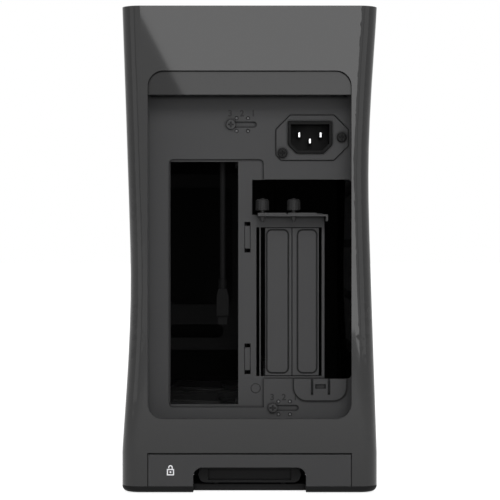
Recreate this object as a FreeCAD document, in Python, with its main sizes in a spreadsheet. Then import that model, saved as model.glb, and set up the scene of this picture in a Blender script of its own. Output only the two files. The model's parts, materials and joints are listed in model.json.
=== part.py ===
import FreeCAD, Part
import math
import os
from types import SimpleNamespace

import Sketcher
from FreeCAD import Placement, Rotation, Vector

# A mini-tower computer case, in millimetres, standing on z = 0.
# -Y is the rear with its sockets, +Y the front, +X the right side seen from the rear.

table = {
    # Outer form
    "case_width": 165, "case_length": 366, "case_height": 314,
    "shell_wall": 2, "corner_radius": 12,
    "plinth_top": 5.2, "plinth_lift": 1, "plinth_round": 3.8,
    "band_top": 26.1,
    "waist_1": 1.87, "waist_2": 3.74, "waist_3": 5.06, "waist_4": 5.41, "waist_5": 4.8,
    "waist_6": 3.84, "waist_7": 2.88, "waist_8": 1.92, "waist_9": 0.96,
    "ledge_drop": 10.5, "ledge_height": 2.5, "ledge_width": 6,
    # Openings of the shell
    "window_width": 131, "window_bottom": 48.4, "window_drop": 41.7, "window_radius": 10,
    "grille_length": 236, "grille_bottom": 78, "grille_top": 246, "grille_radius": 9,
    "grille_gap": 0.3, "grille_slot_width": 3.4, "grille_slot_pitch": 8.2, "grille_slot_rows": 4,
    "grille_margin": 8, "grille_bridge": 6,
    # Top panel
    "panel_gap": 0.5, "lid_thickness": 5, "lid_slot_width": 4, "lid_slot_pitch": 11,
    "lid_margin": 20, "lid_bridge": 10,
    # Base panels and release handle
    "base_panel_width": 130.3, "base_panel_thickness": 3,
    "recess_width": 72.6, "recess_top": 17.3, "recess_radius": 6, "recess_depth": 13,
    "handle_width": 66, "handle_bottom": 6.5, "handle_radius": 4.5, "handle_thickness": 3,
    "handle_gap": 0.5, "handle_bar_width": 40, "handle_bar_height": 6, "handle_bar_length": 80,
    "handle_guide_wall": 3, "handle_lip": 1.6,
    # Base ring, filter and feet
    "ring_inset": 6.5, "ring_wall": 3, "ring_radius": 6,
    "intake_width": 118, "intake_length": 252, "intake_radius": 6, "filter_gap": 0.3,
    "filter_frame": 6, "filter_thickness": 2.4, "filter_bar": 3, "filter_rows": 6, "filter_columns": 10,
    "foot_radius": 9, "foot_reach_side": 62, "foot_reach_length": 156,
    # Chassis sheets
    "chassis_width": 145, "sheet": 1.2, "rear_recess": 22, "front_setback": 10,
    "chassis_drop": 15, "floor_overlap": 2.4, "sheet_radius": 5,
    "top_border": 16,
    "hood_drop": 57, "hood_gap": 0.8, "hood_setback": 2.5, "hood_pad": 2, "hood_width": 140,
    # Cut-out of the rear panel
    "cut_left": -52.9, "cut_bottom": 54, "cut_step": 9.3, "cut_low": 72.8,
    "cut_right": 66.7, "cut_high": 203.1, "cut_top": 216.4, "cut_radius": 3,
    # Spine
    "spine_gap": 0.2, "spine_travel": 15, "plate_left": -70.4, "plate_bottom": 46, "plate_top": 247,
    "plate_right": 49, "plate_corner": 1.7, "ledge_level": 180.1, "slot_ledge_reach": 13.4,
    "slot_ledge_left": 5.3, "slot_ledge_right": 50.8, "slot_lip_drop": 4.3,
    "aperture_left": -51.9, "aperture_bottom": 56, "aperture_width": 44.45, "aperture_height": 158.75,
    "slot_left": 4.4, "slot_rib_left": 6.4, "slot_rib_right": 7.3, "slot_right": 47.2,
    "slot_bottom": 74.5, "slot_head": 8.2,
    "wall_left": -3.2, "wall_bottom": 53, "wall_drop": 28, "wall_flange": 22,
    "wall_window_rear": 34, "wall_window_front": 146, "wall_window_bottom": 96, "wall_window_top": 226,
    "lance_width": 4, "lance_height": 20, "lance_end": 2.6, "lance_centre": -1.4,
    "lance_low": 75.8, "lance_high": 155.4, "lance_groove": 0.35, "lance_depth": 0.6, "lance_notch": 8,
    # Index slots of the spine
    "index_slot_width": 4, "index_upper_left": -12.3, "index_upper_level": 239,
    "index_lower_left": 15.1, "index_lower_level": 53.7, "index_step": 7.5, "slot_flat": 0.01,
    "dimple_radius": 1.3, "dimple_rise": 4.2, "dimple_depth": 0.5,
    "clamp_head_radius": 3.1, "clamp_head_height": 1.6, "clamp_shank_radius": 1.5, "clamp_shank_gap": 0.1,
    "rivet_centre": 4, "rivet_level": 66.5, "rivet_radius": 2.9, "rivet_height": 0.8, "rivet_gap": 0.3,
    "rivet_flange": 1.2,
    # Slot covers and thumbscrews
    "slot_pitch": 20.32, "cover_thickness": 1, "cover_left": 10.2, "cover_width": 17.3, "cover_step": 17.8,
    "cover_bottom": 70, "cover_head_bottom": 171.6, "cover_head_reach": 2.3, "cover_skin": 1,
    "press_left": 0.4, "press_width": 15.3, "press_narrow": 1.6, "press_step": 20.2,
    "press_bottom": 76, "press_top": 170.8,
    "press_radius": 4, "press_groove": 1.1,
    "tab_width": 18.4, "tab_left": 5.4, "tab_step": 19.6,
    "thumb_centre": 8.3, "thumb_setback": 8.6, "thumb_radius": 4.3, "thumb_height": 6.4,
    "thumb_dome": 1.4, "thumb_neck_radius": 2.4, "thumb_neck": 1.4, "thumb_shank_radius": 1.6,
    "thumb_shank_length": 6.5, "thumb_gap": 0.3,
    # Mains inlet
    "bezel_left": 17.5, "bezel_right": 64.2, "bezel_bottom": 215.9, "bezel_top": 244.9,
    "bezel_chamfer": 9.2, "bezel_small_chamfer": 3.2, "bezel_thickness": 0.8,
    "bezel_groove": 0.6, "bezel_groove_depth": 0.6,
    "inlet_left": 25.2, "inlet_width": 28.6, "inlet_bottom": 220.3, "inlet_height": 20.6,
    "inlet_chamfer": 5.6, "inlet_rim": 1.8, "inlet_proud": 1.4, "inlet_depth": 17, "inlet_back": 4,
    "inlet_gap": 0.2, "blade_pitch": 14, "blade_drop": 4, "blade_width": 2, "blade_height": 4,
    "blade_length": 13, "blade_level": 232.4,
    "inlet_screw_radius": 3.2, "inlet_screw_height": 1.5, "inlet_screw_shank": 1.5,
    "inlet_screw_edge": 0.8, "inlet_screw_rise": 1.2,
    # Lock bracket
    "lock_left": 29, "lock_right": 63.2, "lock_bottom": 58.8, "lock_radius": 8.6, "lock_thickness": 2.2,
    "lock_tab_left": 40, "lock_tab_width": 12.6, "lock_tab_bottom": 62.4, "lock_slit": 1.6,
    "lock_slot_width": 7, "lock_slot_height": 3, "lock_slot_level": 67.9,
    # Board standoffs, riser and power supply bracket
    "standoff_length": 6.35, "standoff_radius": 3, "standoff_hole": 1.5,
    "board_span_level": 157.48, "board_span_length": 154.94, "board_inset": 12.4,
    "riser_level": 64, "riser_width": 24, "riser_length": 120, "riser_setback": 40,
    "socket_left": 9, "socket_width": 8, "socket_height": 11.5, "socket_length": 90, "socket_slot": 1.8,
    "socket_slot_depth": 8, "socket_end": 2,
    "supply_setback": 205, "supply_left": -69, "supply_bottom": 82, "supply_top": 214,
    "supply_window_width": 47, "supply_window_bottom": 116, "supply_window_top": 204, "supply_side": 9,
    "supply_slot_width": 40, "supply_slot_height": 10, "supply_slot_level": 96, "supply_slot_radius": 4,
    "supply_flange": 26,
    # Front lead with its plug
    "lead_radius": 1.8, "lead_bend": 9, "lead_setback": 34.5, "lead_reach": 14.6, "lead_level": 238,
    "grommet_radius": 3.6, "grommet_length": 2.5, "grommet_gap": 0.3,
    "plug_top": 137.5, "plug_collar_radius": 2.7, "plug_collar": 6, "plug_neck_width": 5.6, "plug_width": 8,
    "plug_shoulder": 5, "plug_bottom": 113.7, "plug_thickness": 6,
    "prong_width": 6.2, "prong_thickness": 2.4, "prong_length": 5.9,
    # Bottom fans
    "fan_size": 120, "fan_depth": 25, "fan_spread": 124, "fan_bore": 58.4, "fan_corner": 7,
    "fan_hole_spacing": 105, "fan_hole": 2.15, "fan_hub": 21, "fan_strut": 6, "fan_strut_height": 3,
    "fan_motor": 19, "fan_motor_height": 4, "fan_shaft": 2, "fan_shaft_gap": 0.3, "fan_lift": 0.6,
    "fan_top_gap": 1.4, "blade_count": 7, "blade_reach": 56.6, "blade_chord": 27, "blade_skin": 1.6,
    "blade_pitch_angle": 38,
    # Front ports
    "port_board_level": 11.2, "port_board_thickness": 1.6, "port_board_depth": 26, "port_board_inset": 4,
    "port_gap": 0.3, "port_wall": 0.5, "port_proud": 2.4, "port_length": 14, "port_floor": 3,
    "wide_port_width": 13.1, "wide_port_height": 5.7, "wide_port_first": -20, "wide_port_step": 20,
    "small_port_width": 9.2, "small_port_height": 3.5, "small_port_place": 20,
    "jack_radius": 3, "jack_bore": 1.8, "jack_place": -38,
    "button_radius": 4.2, "button_place": 46, "button_flange": 1, "button_level": 16.8, "button_travel": 1,
    "button_flange_thickness": 1.2, "switch_size": 7, "front_cut_reach": 58,
}


class Size:
    """A number with the sheet expression that it comes from."""

    def __init__(self, value, text):
        self.value = value
        self.text = text

    def __add__(self, other):
        return Size(self.value + number(other), f"({self.text} + {words(other)})")

    def __radd__(self, other):
        return Size(number(other) + self.value, f"({words(other)} + {self.text})")

    def __sub__(self, other):
        return Size(self.value - number(other), f"({self.text} - {words(other)})")

    def __rsub__(self, other):
        return Size(number(other) - self.value, f"({words(other)} - {self.text})")

    def __mul__(self, other):
        return Size(self.value * number(other), f"({self.text} * {words(other)})")

    __rmul__ = __mul__

    def __truediv__(self, other):
        return Size(self.value / number(other), f"({self.text} / {words(other)})")

    def __neg__(self):
        return Size(-self.value, f"(-1 * {self.text})")


def number(size):
    return size.value if isinstance(size, Size) else size


def words(size):
    return size.text if isinstance(size, Size) else f"({size!r})"


doc = FreeCAD.newDocument("mini_tower_case")
sizes = doc.addObject("Spreadsheet::Sheet", "sizes")
for row, (alias, value) in enumerate(table.items(), start=1):
    sizes.set(f"A{row}", alias)
    sizes.set(f"B{row}", str(value))
    sizes.setAlias(f"B{row}", alias)
doc.recompute()
s = SimpleNamespace(**{alias: Size(value, f"sizes.{alias}") for alias, value in table.items()})
nodes = []


def node(label, shape_object):
    shape_object.Label = label
    nodes.append(shape_object)
    return shape_object


# Solids whose sizes are bound to the sheet

def place(solid, x, y, z):
    for axis, size in zip("xyz", (x, y, z)):
        solid.setExpression(f"Placement.Base.{axis}", words(size))


def box(x, y, z):
    solid = doc.addObject("Part::Box", "block")
    for side, (low, high) in zip(("Length", "Width", "Height"), (x, y, z)):
        solid.setExpression(side, words(high - low))
    place(solid, x[0], y[0], z[0])
    return solid


turns = {
    "x": Rotation(Vector(0, 1, 0), 90),
    "y": Rotation(Vector(1, 0, 0), -90),
    "z": Rotation(),
}


def rod(axis, first, second, span, radius):
    # first and second are the centre's places on the two other axes, in X, Y, Z order
    solid = doc.addObject("Part::Cylinder", "rod")
    solid.Placement = Placement(Vector(), turns[axis])
    solid.setExpression("Radius", words(radius))
    solid.setExpression("Height", words(span[1] - span[0]))
    centre = [first, second]
    centre.insert("xyz".index(axis), span[0])
    place(solid, *centre)
    return solid


def cone(axis, first, second, span, low_radius, high_radius):
    solid = doc.addObject("Part::Cone", "taper")
    solid.Placement = Placement(Vector(), turns[axis])
    solid.setExpression("Radius1", words(low_radius))
    solid.setExpression("Radius2", words(high_radius))
    solid.setExpression("Height", words(span[1] - span[0]))
    centre = [first, second]
    centre.insert("xyz".index(axis), span[0])
    place(solid, *centre)
    return solid


def rect(u, v, radius=None):
    return [(u[0], v[0], radius), (u[1], v[0], radius), (u[1], v[1], radius), (u[0], v[1], radius)]


def ring(u, v, radius):
    return SimpleNamespace(u=u, v=v, radius=radius)


def pin(rules, index, point, u, v):
    rules.append((Sketcher.Constraint("DistanceX", -1, 1, index, point, number(u)), u))
    rules.append((Sketcher.Constraint("DistanceY", -1, 1, index, point, number(v)), v))


def draw_ring(sketch, loop):
    centre = Vector(number(loop.u), number(loop.v), 0)
    index = sketch.addGeometry(Part.Circle(centre, Vector(0, 0, 1), number(loop.radius)))
    rules = [(Sketcher.Constraint("Radius", index, number(loop.radius)), loop.radius)]
    pin(rules, index, 3, loop.u, loop.v)
    return rules


def toward(start, end):
    # unit step along an edge that runs along one axis
    du = number(end[0]) - number(start[0])
    dv = number(end[1]) - number(start[1])
    reach = math.hypot(du, dv)
    return du / reach, dv / reach


def corner_arc(centre, radius, enter, leave, left_turn):
    # arcs run anticlockwise, so a right turn is drawn from its end
    begin, finish = (enter, leave) if left_turn else (leave, enter)
    angles = [math.atan2(p.y - centre.y, p.x - centre.x) for p in (begin, finish)]
    return Part.ArcOfCircle(Part.Circle(centre, Vector(0, 0, 1), radius), *angles)


def draw_outline(sketch, loop):
    # a closed outline; a corner with a radius joins two edges that run along the axes
    count = len(loop)
    arrive, leave, arcs = [], [], []
    for spot, (u, v, radius) in enumerate(loop):
        if radius is None:
            arrive.append((u, v))
            leave.append((u, v))
            continue
        back = toward((u, v), loop[spot - 1])
        ahead = toward((u, v), loop[(spot + 1) % count])
        arrive.append((u + round(back[0]) * radius, v + round(back[1]) * radius))
        leave.append((u + round(ahead[0]) * radius, v + round(ahead[1]) * radius))
        centre = Vector(number(u) + (back[0] + ahead[0]) * number(radius),
                        number(v) + (back[1] + ahead[1]) * number(radius), 0)
        left_turn = ahead[0] * back[1] - ahead[1] * back[0] > 0
        arcs.append((spot, centre, radius, left_turn))
    flat = [[Vector(number(u), number(v), 0) for u, v in ends] for ends in (arrive, leave)]
    lines = [Part.LineSegment(flat[1][spot], flat[0][(spot + 1) % count]) for spot in range(count)]
    first = sketch.GeometryCount
    sketch.addGeometry(lines)
    rules = []
    for spot in range(count):
        pin(rules, first + spot, 1, *leave[spot])
        following = (spot + 1) % count
        if loop[following][2] is None:
            rules.append((Sketcher.Constraint("Coincident", first + spot, 2, first + following, 1), None))
        else:
            pin(rules, first + spot, 2, *arrive[following])
    for spot, centre, radius, left_turn in arcs:
        arc = sketch.addGeometry(corner_arc(centre, number(radius), flat[0][spot], flat[1][spot], left_turn))
        enter_end, exit_end = (1, 2) if left_turn else (2, 1)
        before = first + (spot - 1) % count
        rules.append((Sketcher.Constraint("Coincident", arc, enter_end, before, 2), None))
        rules.append((Sketcher.Constraint("Coincident", arc, exit_end, first + spot, 1), None))
        rules.append((Sketcher.Constraint("Radius", arc, number(radius)), radius))
    return rules


def apply_rules(sketch, rules):
    first = sketch.ConstraintCount
    sketch.addConstraint([rule for rule, size in rules])
    for index, (rule, size) in enumerate(rules, start=first):
        if isinstance(size, Size):
            sketch.setExpression(f"Constraints[{index}]", size.text)


def new_sketch(body, plane, offset):
    sketch = body.newObject("Sketcher::SketchObject", "outline")
    support = next(f for f in body.Origin.OriginFeatures if f.Role == plane + "_Plane")
    sketch.AttachmentSupport = (support, [""])
    sketch.MapMode = "FlatFace"
    sketch.setExpression("AttachmentOffset.Base.z", words(offset))
    return sketch


def slab(plane, span, outline, *holes):
    # an outline with holes, drawn on a plane and padded over a span of the third axis
    body = doc.addObject("PartDesign::Body", "slab")
    low, high = span
    sketch = new_sketch(body, plane, -high if plane == "XZ" else low)
    rules = []
    for loop in (outline, *holes):
        rules += draw_outline(sketch, loop) if isinstance(loop, list) else draw_ring(sketch, loop)
    apply_rules(sketch, rules)
    pad = body.newObject("PartDesign::Pad", "pad")
    pad.Profile = sketch
    pad.setExpression("Length", words(high - low))
    body.Tip = pad
    return body


def together(*solids):
    group = doc.addObject("Part::Compound", "group")
    group.Links = list(solids)
    return group


def fuse(*solids):
    whole = doc.addObject("Part::MultiFuse", "whole")
    whole.Shapes = list(solids)
    return whole


def cut(base, *tools):
    whole = doc.addObject("Part::Cut", "trimmed")
    whole.Base = base
    whole.Tool = tools[0] if len(tools) == 1 else fuse(*tools)
    return whole


def common(first, second):
    whole = doc.addObject("Part::Common", "shared")
    whole.Base = first
    whole.Tool = second
    return whole


# Shared planes
half_width = s.case_width / 2
rear = -s.case_length / 2
front = s.case_length / 2
inner_rear = rear + s.shell_wall
panel_outer = rear + s.rear_recess
panel_inner = panel_outer + s.sheet
plate_outer = panel_inner + s.spine_gap
plate_inner = plate_outer + s.sheet
front_inner = front - s.front_setback - s.sheet
front_outer = front - s.front_setback
floor_top = s.band_top + s.sheet
half_chassis = s.chassis_width / 2
chassis_top = s.case_height - s.chassis_drop
window_top = s.case_height - s.window_drop
hood_bottom = s.case_height - s.hood_drop
wall_top = s.case_height - s.wall_drop
lid_seat = s.case_height - s.ledge_drop + s.ledge_height


# Outer shell: level sections whose low and high waists stand on opposite corners

waist_insets = [Size(0, "0"), *[getattr(s, f"waist_{step}") for step in range(1, 10)], Size(0, "0")]
waist_steps = len(waist_insets) - 1


def rounded_loop(sketch, corners, radius):
    # an anticlockwise outline of straight lines at any angle, each corner rounded
    flat = [Vector(number(u), number(v), 0) for u, v in corners]
    count = len(flat)
    arrive, leave, arcs = [], [], []
    for spot in range(count):
        back = (flat[spot - 1] - flat[spot]).normalize()
        ahead = (flat[(spot + 1) % count] - flat[spot]).normalize()
        half_angle = back.getAngle(ahead) / 2
        reach = number(radius) / math.tan(half_angle)
        arrive.append(flat[spot] + back * reach)
        leave.append(flat[spot] + ahead * reach)
        centre = flat[spot] + (back + ahead).normalize() * (number(radius) / math.sin(half_angle))
        arcs.append(corner_arc(centre, number(radius), arrive[spot], leave[spot], True))
    sketch.addGeometry([Part.LineSegment(leave[spot], arrive[(spot + 1) % count]) for spot in range(count)])
    sketch.addGeometry(arcs)
    rules = []
    for spot in range(count):
        before, arc = (spot - 1) % count, count + spot
        knot = sketch.addGeometry(Part.Point(flat[spot]), True)
        pin(rules, knot, 1, *corners[spot])
        rules.append((Sketcher.Constraint("PointOnObject", knot, 1, before), None))
        rules.append((Sketcher.Constraint("PointOnObject", knot, 1, spot), None))
        rules.append((Sketcher.Constraint("Tangent", before, 2, arc, 1), None))
        rules.append((Sketcher.Constraint("Tangent", arc, 2, spot, 1), None))
        rules.append((Sketcher.Constraint("Radius", arc, number(radius)), radius))
    return rules


def waisted_form(inset):
    half = half_width - inset
    ends = (rear + inset, front - inset)
    radius = s.corner_radius - inset
    body = doc.addObject("PartDesign::Body", "form")
    sections = []
    for step in range(waist_steps + 1):
        low, high = waist_insets[step], waist_insets[waist_steps - step]
        sketch = new_sketch(body, "XY", s.band_top + (s.case_height - s.band_top) * step / waist_steps)
        corners = [(low - half, ends[0]), (half - high, ends[0]), (half - low, ends[1]), (high - half, ends[1])]
        apply_rules(sketch, rounded_loop(sketch, corners, radius))
        sections.append(sketch)
    loft = body.newObject("PartDesign::AdditiveLoft", "loft")
    loft.Profile = sections[0]
    loft.Sections = sections[1:]
    body.Tip = loft
    return fuse(slab("XY", (s.plinth_top, s.band_top), rect((-half, half), ends, radius)), body)


shell_outer = waisted_form(Size(0, "0"))
shell_inner = waisted_form(s.shell_wall)
lid_reach = half_width - s.shell_wall
lid_length = front - s.shell_wall
ledge_ring = slab("XY", (lid_seat - s.ledge_height, lid_seat),
                  rect((-half_width, half_width), (rear, front)),
                  rect((-(lid_reach - s.ledge_width), lid_reach - s.ledge_width),
                       (-(lid_length - s.ledge_width), lid_length - s.ledge_width),
                       s.corner_radius - s.shell_wall))
shell_tube = cut(shell_outer, cut(shell_inner, ledge_ring))

notch_half = s.base_panel_width / 2 + s.panel_gap
notch_top = s.band_top + s.panel_gap


rear_wall = (rear - s.shell_wall, inner_rear + s.shell_wall)
front_wall = (front - 2 * s.shell_wall, front + s.shell_wall)
window_half = s.window_width / 2
rear_window = slab("XZ", rear_wall, rect((-window_half, window_half), (s.window_bottom, window_top),
                                         s.window_radius))
base_notches = [slab("XZ", wall, rect((-notch_half, notch_half), (s.plinth_top - s.shell_wall, notch_top)))
                for wall in (rear_wall, front_wall)]
grille_half = s.grille_length / 2
side_span = {1: (half_width / 2, half_width + s.shell_wall), -1: (-half_width - s.shell_wall, -half_width / 2)}


def side_block(side, margin):
    return slab("YZ", side_span[side],
                rect((-grille_half + margin, grille_half - margin),
                     (s.grille_bottom + margin, s.grille_top - margin), s.grille_radius - margin))


outer_shell = node("outer_shell", cut(shell_tube, rear_window, *base_notches,
                                      side_block(1, Size(0, "0")), side_block(-1, Size(0, "0"))))


# Side grilles follow the wall and carry rows of upright slots

def side_grille(label, side):
    sheet = common(cut(shell_outer, shell_inner), side_block(side, s.grille_gap))
    rows = table["grille_slot_rows"]
    tall = s.grille_top - s.grille_bottom - 2 * s.grille_margin
    slot_height = (tall - s.grille_bridge * (rows - 1)) / rows
    usable = table["grille_length"] - 2 * table["grille_margin"] - table["grille_slot_width"]
    columns = int(usable // table["grille_slot_pitch"]) + 1
    slots = []
    for column in range(columns):
        centre = (column - (columns - 1) / 2) * s.grille_slot_pitch
        for row in range(rows):
            low = s.grille_bottom + s.grille_margin + row * (slot_height + s.grille_bridge)
            slots.append(box(side_span[side], (centre - s.grille_slot_width / 2, centre + s.grille_slot_width / 2),
                             (low, low + slot_height)))
    return node(label, cut(sheet, together(*slots)))


side_grille("grille_left", -1)
side_grille("grille_right", 1)


# Top panel lies on the ledge inside the rim

def top_panel():
    half = lid_reach - s.panel_gap
    length = lid_length - s.panel_gap
    plate = slab("XY", (lid_seat, lid_seat + s.lid_thickness), rect((-half, half), (-length, length),
                 s.corner_radius - s.shell_wall - s.panel_gap))
    usable = table["case_length"] - 2 * table["shell_wall"] - 2 * table["lid_margin"]
    count = int(usable // table["lid_slot_pitch"])
    slots = []
    for index in range(count):
        centre = (index - (count - 1) / 2) * s.lid_slot_pitch
        for side in (-1, 1):
            ends = (s.lid_bridge / 2, half - s.lid_margin)
            x = ends if side > 0 else (-ends[1], -ends[0])
            slots.append(box(x, (centre - s.lid_slot_width / 2, centre + s.lid_slot_width / 2),
                             (lid_seat - 1, lid_seat + s.lid_thickness + 1)))
    return node("top_panel", cut(plate, together(*slots)))


top_panel()


# Plinth with a rounded lower edge, its air intake and the finger notch
recess_half = s.recess_width / 2
recess_back = rear + s.recess_depth
ring_half = half_width - s.ring_inset
ring_end = front - s.base_panel_thickness
bar_half = s.handle_bar_width / 2
bar_low = s.handle_bottom + s.handle_lip
bar_high = bar_low + s.handle_bar_height
guide_half = bar_half + s.handle_gap
board_low = s.port_board_level
board_high = board_low + s.port_board_thickness
board_front = front - s.base_panel_thickness - s.port_board_inset
board_rear = board_front - s.port_board_depth


def plinth():
    body = slab("XY", (s.plinth_lift, s.plinth_top),
                rect((-half_width, half_width), (rear, front), s.corner_radius))
    doc.recompute()
    pad = body.Tip
    lowest = [f"Edge{index}" for index, edge in enumerate(pad.Shape.Edges, start=1)
              if edge.BoundBox.ZMax < s.plinth_lift.value + 1e-6]
    rounding = body.newObject("PartDesign::Fillet", "lower_edge")
    rounding.Base = (pad, lowest)
    rounding.setExpression("Radius", words(s.plinth_round))
    body.Tip = rounding
    through = (s.plinth_lift - 1, s.plinth_top + 1)
    intake = slab("XY", through, rect((-s.intake_width / 2, s.intake_width / 2),
                  (-s.intake_length / 2, s.intake_length / 2), s.intake_radius))
    notch = box((-recess_half, recess_half), (rear - 1, recess_back), through)
    guide_y = (recess_back + s.handle_gap, -s.intake_length / 2 - s.handle_guide_wall)
    guides = [box((guide_half, guide_half + s.handle_guide_wall), guide_y, (s.plinth_top, bar_high)),
              box((-guide_half - s.handle_guide_wall, -guide_half), guide_y, (s.plinth_top, bar_high))]
    rib = box((-s.front_cut_reach, s.front_cut_reach), (board_rear, board_rear + s.ring_wall),
              (s.plinth_top, board_low))
    return node("plinth", fuse(cut(body, fuse(intake, notch)), *guides, rib))


plinth()
node("feet", together(*[rod("z", side * s.foot_reach_side, end * s.foot_reach_length, (Size(0, "0"), s.plinth_lift),
                            s.foot_radius) for side in (-1, 1) for end in (-1, 1)]))


def dust_filter():
    half = s.intake_width / 2 - s.filter_gap
    length = s.intake_length / 2 - s.filter_gap
    low = s.plinth_top - s.filter_thickness
    frame = slab("XY", (low, s.plinth_top), rect((-half, half), (-length, length), s.intake_radius - s.filter_gap))
    rows, columns = table["filter_rows"], table["filter_columns"]
    cell_x = (2 * half - 2 * s.filter_frame - (rows - 1) * s.filter_bar) / rows
    cell_y = (2 * length - 2 * s.filter_frame - (columns - 1) * s.filter_bar) / columns
    cells = []
    for row in range(rows):
        x = -half + s.filter_frame + row * (cell_x + s.filter_bar)
        for column in range(columns):
            y = -length + s.filter_frame + column * (cell_y + s.filter_bar)
            cells.append(box((x, x + cell_x), (y, y + cell_y), (low - 1, s.plinth_top + 1)))
    return node("dust_filter", cut(frame, together(*cells)))


dust_filter()

# Base ring between plinth and floor
def base_frame():
    ring_span = (s.plinth_top, s.band_top)
    hollow = s.ring_radius - s.ring_wall
    walls = slab("XY", ring_span, rect((-ring_half, ring_half), (-ring_end, ring_end), s.ring_radius),
                 rect((-ring_half + s.ring_wall, ring_half - s.ring_wall),
                      (-ring_end + s.ring_wall, ring_end - s.ring_wall), hollow))
    handle_way = box((-recess_half, recess_half), (-ring_end - 1, -ring_end + s.ring_wall + 1),
                     (s.plinth_top, s.recess_top))
    port_way = box((-s.front_cut_reach, s.front_cut_reach), (ring_end - s.ring_wall - 1, ring_end + 1),
                   (s.port_board_level - 1, s.band_top - s.ring_wall))
    shelf = box((-s.front_cut_reach, s.front_cut_reach), (ring_end - s.ring_wall - s.port_board_inset, ring_end),
                (s.plinth_top, board_low))
    return node("base_frame", fuse(cut(walls, handle_way, port_way), shelf))


base_frame()


def base_outline():
    half = s.base_panel_width / 2
    top = s.band_top - s.panel_gap
    return half, top


def release_panel():
    half, top = base_outline()
    plate = slab("XZ", (rear, rear + s.base_panel_thickness), rect((-half, half), (s.plinth_top, top)))
    opening = slab("XZ", (rear - 1, rear + s.base_panel_thickness + 1),
                   [(-recess_half, s.plinth_top - 1, None), (recess_half, s.plinth_top - 1, None),
                    (recess_half, s.recess_top, s.recess_radius), (-recess_half, s.recess_top, s.recess_radius)])
    return node("release_panel", cut(plate, opening))


release_panel()


def release_handle():
    half = s.handle_width / 2
    top = s.recess_top - s.handle_gap
    face = recess_back - s.handle_thickness
    tab = slab("XZ", (face, recess_back),
               [(-half, s.handle_bottom, s.handle_radius), (half, s.handle_bottom, s.handle_radius),
                (half, top, s.handle_radius), (-half, top, s.handle_radius)])
    scoop = slab("XZ", (face - 1, recess_back - s.handle_thickness / 2),
                 rect((s.recess_radius - half, half - s.recess_radius),
                      (s.handle_bottom + s.handle_lip, top - s.handle_lip)))
    bar = box((-bar_half, bar_half), (recess_back, recess_back + s.handle_bar_length), (bar_low, bar_high))
    return node("release_handle", fuse(cut(tab, scoop), bar))


release_handle()

# Chassis sheets
floor_half = ring_half - s.floor_overlap / 2
floor_end = ring_end - s.floor_overlap / 2
fan_places = [-s.fan_spread / 2, s.fan_spread / 2]


def fan_holes(y):
    reach = s.fan_hole_spacing / 2
    return [ring(x * reach, y + end * reach, s.fan_hole) for x in (-1, 1) for end in (-1, 1)]


node("chassis_floor", slab("XY", (s.band_top, floor_top),
                           rect((-floor_half, floor_half), (-floor_end, floor_end), s.sheet_radius),
                           *[ring(Size(0, "0"), y, s.fan_bore) for y in fan_places],
                           *[hole for y in fan_places for hole in fan_holes(y)]))


def slot_loop(left, level, width, travel):
    # a round-ended slot drawn as a rectangle whose corners meet
    return rect((left - width / 2, left + travel + width / 2), (level - width / 2, level + width / 2),
                width / 2 - s.slot_flat)


def lock_slit_holes():
    left = s.lock_tab_left
    right = s.lock_tab_left + s.lock_tab_width
    return [(left, left + s.lock_slit), (right - s.lock_slit, right)]


def inlet_outline(grow):
    left = s.inlet_left - grow
    right = s.inlet_left + s.inlet_width + grow
    low = s.inlet_bottom - grow
    high = s.inlet_bottom + s.inlet_height + grow
    bevel = s.inlet_chamfer + grow * (2 - math.sqrt(2))
    return [(left + bevel, low, None), (right - bevel, low, None), (right, low + bevel, None),
            (right, high, None), (left, high, None), (left, low + bevel, None)]


def bezel_outline(grow):
    left, right = s.bezel_left - grow, s.bezel_right + grow
    low, high = s.bezel_bottom - grow, s.bezel_top + grow
    spread = grow * (2 - math.sqrt(2))
    bevel = s.bezel_chamfer + spread
    small = s.bezel_small_chamfer + spread
    return [(left + small, low, None), (right - bevel, low, None), (right, low + bevel, None),
            (right, high - bevel, None), (right - bevel, high, None), (left + bevel, high, None),
            (left, high - bevel, None), (left, low + small, None)]


screw_edge = s.inlet_screw_radius + s.inlet_screw_edge
inlet_screw_places = [(s.bezel_left + screw_edge, s.bezel_bottom + s.inlet_screw_radius + s.inlet_screw_rise),
                      (s.bezel_right - screw_edge, s.inlet_bottom + s.inlet_height / 2)]


def dimples(left, level):
    spots = []
    for index in (0, 1):
        for rise in (-1, 1):
            spots.append(rod("y", left + s.index_step / 2 + index * s.index_step, level + rise * s.dimple_rise,
                             (panel_outer - 1, panel_outer + s.dimple_depth), s.dimple_radius))
    return spots


def rear_panel():
    outline = rect((-half_chassis, half_chassis), (floor_top, chassis_top))
    opening = [(s.cut_left, s.cut_bottom, s.cut_radius), (s.cut_step, s.cut_bottom, None),
               (s.cut_step, s.cut_low, None), (s.cut_right, s.cut_low, s.cut_radius),
               (s.cut_right, s.cut_high, s.cut_radius), (s.cut_step, s.cut_high, None),
               (s.cut_step, s.cut_top, s.cut_radius), (s.cut_left, s.cut_top, s.cut_radius)]
    sheet = slab("XZ", (panel_outer, panel_inner), outline, opening, inlet_outline(s.inlet_gap),
                 slot_loop(s.index_upper_left, s.index_upper_level, s.index_slot_width, s.spine_travel),
                 slot_loop(s.index_lower_left, s.index_lower_level, s.index_slot_width, s.spine_travel),
                 *[ring(u, v, s.inlet_screw_shank + s.inlet_gap) for u, v in inlet_screw_places])
    pits = dimples(s.index_upper_left, s.index_upper_level) + dimples(s.index_lower_left, s.index_lower_level)
    groove = slab("XZ", (panel_outer - 1, panel_outer + s.bezel_groove_depth),
                  bezel_outline(s.bezel_groove), bezel_outline(Size(0, "0")))
    return node("rear_panel", cut(sheet, together(groove, *pits)))


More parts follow.
